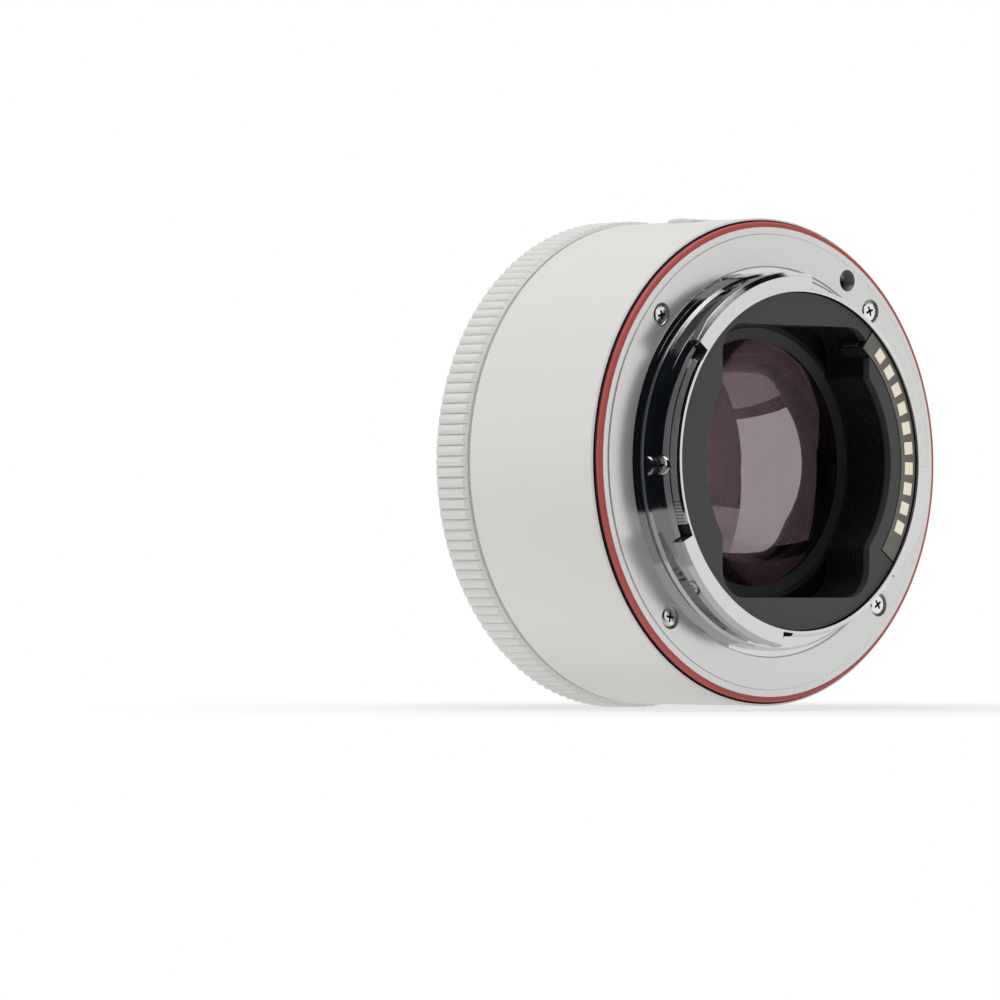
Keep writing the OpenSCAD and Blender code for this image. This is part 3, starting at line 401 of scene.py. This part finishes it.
def piece(name, bm, slot, nodes=(), body="housing", finish=None, more=(), crease=35.0):
    """Makes an object of a bmesh, with its finish and body and the CAD nodes that it stands for."""
    bmesh.ops.remove_doubles(bm, verts=bm.verts, dist=0.0005)
    bmesh.ops.recalc_face_normals(bm, faces=bm.faces)
    bmesh.ops.scale(bm, vec=(MM, MM, MM), verts=bm.verts)
    mesh = bpy.data.meshes.new(name)
    bm.to_mesh(mesh)
    bm.free()
    for face in mesh.polygons:
        face.use_smooth = True
    mesh.set_sharp_from_angle(angle=math.radians(crease))
    for look in (finish or FINISHES[slot], *more):
        mesh.materials.append(look.material)
    obj = bpy.data.objects.new(name, mesh)
    bpy.context.collection.objects.link(obj)
    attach(obj, body)
    if nodes:
        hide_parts(*nodes)
    return obj


def full_turn(bm, geom, steps):
    bmesh.ops.spin(bm, geom=geom, cent=(0, 0, 0), axis=(0, 1, 0), angle=math.tau, steps=steps, use_merge=True)


def rounded(bm, edges, width, segments):
    bmesh.ops.bevel(bm, geom=edges, offset=width, segments=segments, profile=0.5, affect="EDGES", material=-1)


def round_rings(bm, corners, width):
    """Rounds the rings of edges that lie at these (radius, w) corners."""
    def at(v, corner):
        return math.hypot(math.hypot(v.co.x, v.co.z) - corner[0], -v.co.y - corner[1]) < 0.002

    rounded(bm, [e for e in bm.edges if any(all(at(v, c) for v in e.verts) for c in corners)], width, 4)


def turned(bm, outline, round_at=(), rounding=0.0, steps=180):
    """Turns a closed outline of (radius, w) points about the axis, with the corners in round_at rounded."""
    verts = [bm.verts.new((r, -w, 0)) for r, w in outline]
    edges = [bm.edges.new(ends) for ends in zip(verts, verts[1:] + verts[:1])]
    full_turn(bm, verts + edges, steps)
    bmesh.ops.remove_doubles(bm, verts=bm.verts, dist=0.0005)
    if round_at:
        round_rings(bm, [outline[i] for i in round_at], rounding)


def new_verts(made):
    return [g for g in made["geom"] if isinstance(g, bmesh.types.BMVert)]


def drawn_out(bm, edges):
    """Extrudes a chain of edges and returns the new vertices and edges."""
    made = bmesh.ops.extrude_edge_only(bm, edges=edges)
    verts = new_verts(made)
    inside = set(verts)
    chain = [g for g in made["geom"] if isinstance(g, bmesh.types.BMEdge) and inside.issuperset(g.verts)]
    return verts, chain


def edges_of(verts):
    return list({e for v in verts for e in v.link_edges})


def box_mm(node):
    """The low and high corner of a node, in millimetres."""
    return [Vector(c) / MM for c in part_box(node)]


def front_rear(node):
    """The w of a node's front and rear end, in millimetres."""
    low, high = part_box(node)
    return -high.y / MM, -low.y / MM


def outer_radius(node):
    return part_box(node)[1].x / MM


BARREL_R = outer_radius("barrel")
RIBS = 144
RIB_FOOT_R = BARREL_R - 0.05
RIB_RISE = 0.49
RIB_SHARES = (-0.5, -0.475, -0.40, -0.24, 0.0, 0.24, 0.40, 0.475, 0.5)


def grip_ring():
    """One rib, with slanted ends, repeated around a plain ring."""
    front, spigot_end = front_rear("grip_ring")
    rear = 6.1
    barrel_front = front_rear("barrel")[0]
    core_r, bore_r, groove_r, spigot_r = 30.7, 29.6, BARREL_R - 0.55, 29.88
    under_front, under_rear = front + 0.1, rear - 0.1

    def place(v, w, slant, r, rise):
        turn = math.atan2(v.co.z, v.co.x)
        crest = math.sqrt(abs(math.cos(turn * RIBS / 2)))
        r += rise * RIB_RISE * crest
        v.co = (r * math.cos(turn), -(w + slant * crest), r * math.sin(turn))

    bm = bmesh.new()
    across = [share * math.tau / RIBS for share in RIB_SHARES]
    verts = [bm.verts.new((core_r * math.cos(a), -front, core_r * math.sin(a))) for a in across]
    edges = [bm.edges.new(ends) for ends in zip(verts, verts[1:])]
    # The w, slant, radius and share of the rise of each line along the rib
    for station in (
            (front, 0.0, RIB_FOOT_R, 0.4), (front, 0.3, RIB_FOOT_R, 1.0),
            (rear, -0.6, RIB_FOOT_R, 1.0), (rear, 0.0, RIB_FOOT_R, 0.0),
            (rear, 0.0, core_r, 0.0), (front, 0.0, core_r, 0.0)):
        verts, edges = drawn_out(bm, edges)
        for v in verts:
            place(v, *station)
    bmesh.ops.spin(bm, geom=bm.verts[:] + bm.edges[:] + bm.faces[:], cent=(0, 0, 0), axis=(0, 1, 0),
                   angle=math.tau * (RIBS - 1) / RIBS, steps=RIBS - 1, use_duplicate=True)
    turned(bm, [
        (bore_r, under_front), (core_r, under_front), (core_r, under_rear), (groove_r, under_rear),
        (groove_r, barrel_front), (spigot_r, barrel_front), (spigot_r, spigot_end), (bore_r, spigot_end)])
    piece("ribbed_grip", bm, "body_paint", ["grip_ring"])


def seal_ring():
    """Rubber ring, flush with the flange's rim inside and falling off to an open gap at the barrel."""
    front, crown = front_rear("rear_seal")
    foot_r = outer_radius("rear_seal")
    bore_r, wall_r, crown_r = foot_r - 0.83, foot_r - 0.16, foot_r - 0.42
    bm = bmesh.new()
    turned(bm, [
        (bore_r, front), (foot_r, front), (foot_r, front + 0.3), (wall_r, front + 0.4),
        (wall_r, crown - 0.2), (crown_r, crown + 0.08), (bore_r, crown + 0.14)], (4, 5), 0.14, steps=240)
    piece("red_seal", bm, "seal_rubber", ["rear_seal"])


def nose_bumper():
    front, rear = front_rear("front_bumper")
    rim_r = outer_radius("front_bumper")
    bore_r = rim_r - 1.95
    bm = bmesh.new()
    turned(bm, [(bore_r, rear), (rim_r, rear), (rim_r, front), (bore_r, front)], (2, 3), 0.28)
    piece("nose_bumper", bm, "bumper_rubber", ["front_bumper"])


def lens_face(bm, w, radius, r, out):
    """Draws half of a lens face from the axis to r, its pole at w, and returns the vertex at its edge.

    A radius above 0 bulges towards out, one below 0 is hollow, and 0 is flat.
    """
    pole = bm.verts.new((0, -w, 0))
    if radius:
        made = bmesh.ops.spin(bm, geom=[pole], cent=(0, -(w - out * radius), 0), axis=(0, 0, 1),
                              angle=-out * math.asin(r / radius), steps=30)
    else:
        made = bmesh.ops.spin(bm, geom=[pole], axis=(0, 0, 1), dvec=(-r / 8, 0, 0), angle=0, steps=8)
    return made["geom_last"][0]


def lens_element(name, node, front_radius, rear_radius):
    front, rear = front_rear(node)
    r = outer_radius(node)
    finish = REAR_GLASS if node == "rear_lens" else FINISHES["lens_glass"]
    front_hollow, rear_hollow = (
        max(0.0, -c - math.sqrt(c * c - r * r)) if c < 0 else 0.0 for c in (front_radius, rear_radius))
    bm = bmesh.new()
    rims = [lens_face(bm, front + front_hollow, front_radius, r, -1),
            lens_face(bm, rear - rear_hollow, rear_radius, r, 1)]
    bm.edges.new(rims)
    full_turn(bm, bm.verts[:] + bm.edges[:], 128)
    piece(name, bm, "lens_glass", [node], finish=finish, crease=25.0)


ELEMENTS = (
    ("front_element", "front_lens", 40, 120),
    ("doublet_front_element", "doublet_front_lens", 60, 32),
    ("doublet_rear_element", "doublet_rear_lens", -32, -90),
    ("triplet_front_element", "triplet_front_lens", -50, -24),
    ("triplet_middle_element", "triplet_middle_lens", 24, 26),
    ("triplet_rear_element", "triplet_rear_lens", -26, -60),
    ("field_element", "field_lens", -120, 150),
    ("rear_element", "rear_lens", 0, 32),
)


def cross_screw(bm, place, head_r, head_h, shank_r, shank_l, turn):
    """Adds a domed screw with a cross recess, its seat at the origin of place and its head towards +Z."""
    arm, reach = 0.16, 0.59
    dome_r, dome_fall = 0.84 * head_r, 0.16
    taper, depth = 0.78, 0.85 * head_h

    def in_cross(face):
        near, far = sorted(abs(c) for c in face.calc_center_median().xy)
        return near < arm and far < reach

    new = bmesh.new()
    bmesh.ops.create_grid(new, x_segments=14, y_segments=14, size=1.0)
    cross = [f for f in new.faces if in_cross(f)]
    for v in new.verts:
        x, y = v.co.x, v.co.y
        x, y = x * math.sqrt(1 - y * y / 2), y * math.sqrt(1 - x * x / 2)
        v.co = (dome_r * x, dome_r * y, head_h * (1.0 - dome_fall * (x * x + y * y)))
    outlines = list({e for f in cross for e in f.edges})
    recess = new_verts(bmesh.ops.extrude_face_region(new, geom=cross + outlines))
    bmesh.ops.scale(new, vec=(taper, taper, 1.0), verts=recess)
    bmesh.ops.translate(new, vec=(0, 0, -depth), verts=recess)
    sunk = set(recess)
    # Faces of the recess take the second material, which is painted shade.
    for f in new.faces:
        f.material_index = int(any(v in sunk for v in f.verts))
    edges = [e for e in new.edges if e.is_boundary]
    ring_r = dome_r
    for r, z in ((0.95 * head_r, 0.70 * head_h), (head_r, 0.48 * head_h), (head_r, 0.0), (shank_r, 0.0),
                 (shank_r, -shank_l)):
        verts, edges = drawn_out(new, edges)
        bmesh.ops.scale(new, vec=(r / ring_r, r / ring_r, 1.0), verts=verts)
        for v in verts:
            v.co.z = z
        ring_r = r
    bmesh.ops.edgeloop_fill(new, edges=edges)
    bmesh.ops.transform(new, matrix=place @ Matrix.Rotation(turn, 4, "Z"), verts=new.verts)
    mesh = bpy.data.meshes.new("screw")
    new.to_mesh(mesh)
    new.free()
    bm.from_mesh(mesh)
    bpy.data.meshes.remove(mesh)


def round_axis(radius, w, degrees):
    """The point at this distance from the axis and w, at this angle from +X, as a translation."""
    a = math.radians(degrees)
    return Matrix.Translation((radius * math.cos(a), -w, radius * math.sin(a)))


MOUNT_SCREW = {"head_r": 1.35, "head_h": 0.65, "shank_r": 0.8}
MOUNT_SCREW_ANGLES = [47.3 + 90 * i for i in range(4)]
MOUNT_SCREW_CIRCLE_R = 27.0
MASK_SCREW = {"head_r": 1.2, "head_h": 0.5, "shank_r": 0.7, "shank_l": 1.6}
MASK_SCREW_ANGLES = (101, 182, 285)
MASK_SCREW_SEAT_R = 22.3
MASK_SCREW_W = 32.75


def mount_screws(name, node, seat_w, tilt, shank_l, turns):
    """Four screws along the axis, their heads tilted about X from +Z to the rear (90) or the front (-90)."""
    facing = Matrix.Rotation(math.radians(tilt), 4, "X")
    bm = bmesh.new()
    for angle, turn in zip(MOUNT_SCREW_ANGLES, turns):
        place = round_axis(MOUNT_SCREW_CIRCLE_R, seat_w, angle) @ facing
        cross_screw(bm, place, **MOUNT_SCREW, shank_l=shank_l, turn=turn)
    piece(name, bm, "screw_steel", [node], more=[RECESS_SHADE])


def mask_screws():
    bm = bmesh.new()
    for angle, turn in zip(MASK_SCREW_ANGLES, (0.4, 0.25, 0.0)):
        outward = Matrix.Rotation(math.radians(90 - angle), 4, "Y")
        cross_screw(bm, round_axis(MASK_SCREW_SEAT_R, MASK_SCREW_W, angle) @ outward, **MASK_SCREW, turn=turn)
    piece("tube_screws", bm, "screw_steel", ["mask_screws"], more=[RECESS_SHADE])


def lever():
    """Low lever with a slope for the finger, on a stem that goes down to the lock slide."""
    low, high = box_mm("release_lever")
    front, rear = -high.y, -low.y
    foot, top, half = 30.6, high.z, high.x
    crest_front, crest_rear = front + 1.1, front + 2.7
    stem_w, stem_wide, stem_long = front + 1.6, 3.0, 2.0
    bm = bmesh.new()
    side = bm.faces.new([bm.verts.new((-half, -w, z)) for w, z in (
        (front, foot), (front, BARREL_R + 0.1), (crest_front, top), (crest_rear, top), (rear, BARREL_R),
        (rear, foot))])
    swept = new_verts(bmesh.ops.extrude_face_region(bm, geom=[side]))
    bmesh.ops.translate(bm, vec=(2 * half, 0, 0), verts=swept)
    rounded(bm, [e for e in bm.edges if max(v.co.z for v in e.verts) > foot + 0.1], 0.22, 3)
    stem = Matrix.Translation((0, -stem_w, (low.z + foot) / 2)) @ Matrix.Diagonal(
        (stem_wide, stem_long, foot - low.z + 0.1, 1.0))
    bmesh.ops.create_cube(bm, size=1.0, matrix=stem)
    piece("release_lever_cap", bm, "body_paint", ["release_lever"], body="lens_lock")


def contact_comb():
    """Short ridges on the upper end of the contact block, inside the tunnel."""
    ridges, first_w, pitch = 5, 31.45, 0.54
    radius, lift, angle = 19.45, 0.14, 51.4
    turn = Matrix.Rotation(math.radians(-angle), 4, "Y")
    ridge = Matrix.Diagonal((0.75, 0.26, 0.34, 1.0))
    bm = bmesh.new()
    for i in range(ridges):
        place = turn @ Matrix.Translation((radius, -(first_w + pitch * i), lift))
        made = bmesh.ops.create_cube(bm, size=1.0, matrix=place @ ridge)["verts"]
        rounded(bm, edges_of(made), 0.06, 2)
    piece("contact_comb", bm, "contact_plastic", finish=COMB)


def coil_spring(name, node, joint, travel, around, mean_r, wire_r, turns):
    """A coil as long as the CAD spring, on the axis of the node around. The joint is not used: the coil keeps
    its length.
    """
    low, high = box_mm(node)
    centre = sum(box_mm(around), Vector()) / 2
    length, steps = high.y - low.y, round(16 * turns)
    rise = (length - 2 * wire_r) / steps
    bm = bmesh.new()
    start = Matrix.Translation((centre.x + mean_r, low.y + wire_r, centre.z))
    ring = bmesh.ops.create_circle(bm, segments=8, radius=wire_r, matrix=start)["verts"]
    bmesh.ops.spin(bm, geom=ring + edges_of(ring), cent=(centre.x, 0, centre.z), axis=(0, 1, 0),
                   dvec=(0, rise, 0), angle=math.tau * turns, steps=steps)
    bmesh.ops.holes_fill(bm, edges=[e for e in bm.edges if e.is_boundary])
    obj = piece(name, bm, "spring_steel", [node])
    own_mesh(obj)


CONTACTS = 10
CONTACT_TRAVEL = 0.8
CONTACT_COIL = {"mean_r": 0.48, "wire_r": 0.09, "turns": 7.5}
LOCK_TRAVEL = 1.8
LOCK_COIL = {"mean_r": 1.2, "wire_r": 0.18, "turns": 5.5}

grip_ring()
seal_ring()
contact_comb()
nose_bumper()
for element in ELEMENTS:
    lens_element(*element)
mount_screws("flange_screws", "rear_mount_screws", 29.25, 90, 3.2, (0.35, 0.20, -0.15, 0.60))
mount_screws("mount_ring_screws", "front_mount_screws", 0.75, -90, 2.8, (0.5, -0.3, 0.1, 0.7))
mask_screws()
lever()
for i in range(1, CONTACTS + 1):
    coil_spring(f"contact_coil_{i}", "contact_springs", f"contact_{i}_slide", CONTACT_TRAVEL,
                f"contact_pin_{i}", **CONTACT_COIL)
coil_spring("lock_coil", "lock_spring", "lens_lock_slide", LOCK_TRAVEL, "lock_pin", **LOCK_COIL)


# Studio, in metres

FLOOR_Z = CAD_BOX[0].z - 0.00005
CENTRE = (0, -0.016, 0)
CARD_DISTANCE = 1.6
CAMERA_SIDE = (-125, 25)
RIGHT_SIDE = (25, 84)
BLACK = (0.006, 0.008, 0.012)


def mirrored_or_seen(tree):
    """1 for rays from the camera, from a mirror or through glass, 0 for the rest."""
    base = Shade(tree)
    path = base.node("LightPath").socket.node.outputs
    kinds = ("Is Camera Ray", "Is Glossy Ray", "Is Transmission Ray")
    camera, glossy, through = (Shade(tree, path[kind]) for kind in kinds)
    return base.math("MINIMUM", camera + glossy + through, 1.0)


def studio_world(ambient):
    """White where it is seen or mirrored, and a weaker light on the object."""
    world = bpy.data.worlds.new("studio")
    world.use_nodes = True
    tree = world.node_tree
    background = tree.nodes["Background"]
    background.inputs["Color"].default_value = rgb(1.0, 1.0, 1.0)
    strength = mirrored_or_seen(tree) * (1 - ambient) + ambient
    tree.links.new(strength.socket, background.inputs["Strength"])
    bpy.context.scene.world = world


def stage_object(name, bm, material):
    mesh = bpy.data.meshes.new(name)
    bm.to_mesh(mesh)
    bm.free()
    mesh.materials.append(material)
    obj = bpy.data.objects.new(name, mesh)
    bpy.context.collection.objects.link(obj)
    return obj


def show(tree, shader):
    tree.links.new(shader.socket, tree.nodes["Material Output"].inputs["Surface"])


def floor():
    """White paper that takes the object's shadow close by and is plain white further off."""
    shadow_centre, shadow_r = (0, -0.015, FLOOR_Z), (0.03, 0.085)
    near_glow, unseen_glow = 0.6, 0.5
    bm = bmesh.new()
    bmesh.ops.create_circle(bm, cap_ends=True, segments=96, radius=8.0)
    bmesh.ops.translate(bm, verts=bm.verts, vec=(0, 0, FLOOR_Z))
    f = Finish("floor_paper", Roughness=0.9)
    grain = f.noise(0.8)
    f.set(Base_Color=grain.blend(rgb(0.90, 0.90, 0.90), rgb(0.94, 0.94, 0.94)))
    away = f.base.node("VectorMath", {"operation": "DISTANCE"}, {0: f.place, 1: shadow_centre}, out="Value")
    seen = mirrored_or_seen(f.tree)
    share = seen * (near_glow + (1 - near_glow) * away.step(*shadow_r)) + (1 - seen) * unseen_glow
    glow = f.base.node("Emission", {}, {"Color": rgb(1, 1, 1), "Strength": 1.0})
    paper = Shade(f.tree, f.shader.outputs[0])
    show(f.tree, f.base.node("MixShader", {}, {0: share, 1: paper, 2: glow}))
    stage_object("floor", bm, f.material)


def card(name, glow, spots):
    """Card seen in mirrors and glass only, its grid bent by spots from the corners (0, 0) to (1, 1)."""
    bm = bmesh.new()
    bmesh.ops.create_grid(bm, x_segments=24, y_segments=24, size=0.5)
    for v in bm.verts:
        v.co = spots(v.co.x + 0.5, v.co.y + 0.5)
    material = bpy.data.materials.new(name)
    material.use_nodes = True
    tree = material.node_tree
    show(tree, Shade(tree).node("Emission", {}, {"Color": rgb(*glow), "Strength": 1.0}))
    obj = stage_object(name, bm, material)
    obj.visible_camera = obj.visible_diffuse = obj.visible_shadow = False


def heading(azimuth, elevation):
    """Direction at this azimuth, from -Y towards +X, and elevation, in degrees."""
    a, e = math.radians(azimuth), math.radians(elevation)
    return Vector((math.sin(a) * math.cos(e), -math.cos(a) * math.cos(e), math.sin(e)))


def between(ends, share):
    return ends[0] + (ends[1] - ends[0]) * share


def wall_card(name, glow, azimuth, elevation):
    """Card on a sphere about the origin, over these ranges of azimuth and elevation in degrees."""
    card(name, glow, lambda u, v: CARD_DISTANCE * heading(between(azimuth, u), between(elevation, v)))


def floor_card(name, glow, azimuth, away):
    """Card just above the floor, over these ranges of azimuth and of distance from the rear mount."""
    middle = Vector((0, -0.03, FLOOR_Z + 0.0004))
    card(name, glow, lambda u, v: heading(between(azimuth, u), 0) * between(away, v) + middle)


def softbox(name, place, size, power):
    """Square light that faces the middle of the object."""
    light = bpy.data.lights.new(name, "AREA")
    light.shape = "SQUARE"
    light.size = size
    light.energy = power
    obj = bpy.data.objects.new(name, light)
    bpy.context.collection.objects.link(obj)
    obj.location = place
    obj.rotation_euler = (Vector(CENTRE) - Vector(place)).to_track_quat("-Z", "Y").to_euler()


def photo_camera():
    """Camera at the place from which the photograph was taken."""
    aim_point = Vector((0, -29.5 * MM, 0))
    azimuth, elevation, distance = -45.68, -1.06, 0.9
    focal_px, width_px = 7010.0, 1000.0
    aim_px = (769.16, 461.95)
    back = heading(azimuth, elevation)
    right = heading(azimuth + 90, 0)
    aim = Matrix((right, back.cross(right), back)).transposed()
    across, up = aim_px[0] - width_px / 2, width_px / 2 - aim_px[1]
    seen = Vector((across / focal_px, up / focal_px, -1)).normalized()
    turn = Vector((0, 0, -1)).rotation_difference(seen).to_matrix()
    data = bpy.data.cameras.new("camera")
    data.sensor_width = 36.0
    data.lens = focal_px / width_px * data.sensor_width
    data.clip_start = 0.01
    obj = bpy.data.objects.new("camera", data)
    bpy.context.collection.objects.link(obj)
    obj.matrix_world = Matrix.Translation(aim_point + distance * back) @ (aim @ turn.transposed()).to_4x4()
    bpy.context.scene.camera = obj


studio_world(0.30)
floor()
photo_camera()
softbox("top_light", (-0.2, -0.1, 0.95), 0.8, 6.2)
softbox("left_light", (-1.0, 0.6, 0.16), 0.7, 3.6)
wall_card("camera_flag", BLACK, CAMERA_SIDE, (-2, 80))
floor_card("floor_flag", BLACK, CAMERA_SIDE, (0.08, CARD_DISTANCE))
floor_card("floor_shade", (0.40, 0.40, 0.40), CAMERA_SIDE, (0.035, 0.08))
floor_card("floor_glow", (0.60, 0.60, 0.60), CAMERA_SIDE, (0.0, 0.035))
wall_card("bar_flag", BLACK, RIGHT_SIDE, (17, 21))
wall_card("ceiling_card", (0.36, 0.34, 0.37), RIGHT_SIDE, (21, 44))
wall_card("top_flag", BLACK, RIGHT_SIDE, (44, 80))

bpy.context.scene.view_settings.view_transform = "Standard"
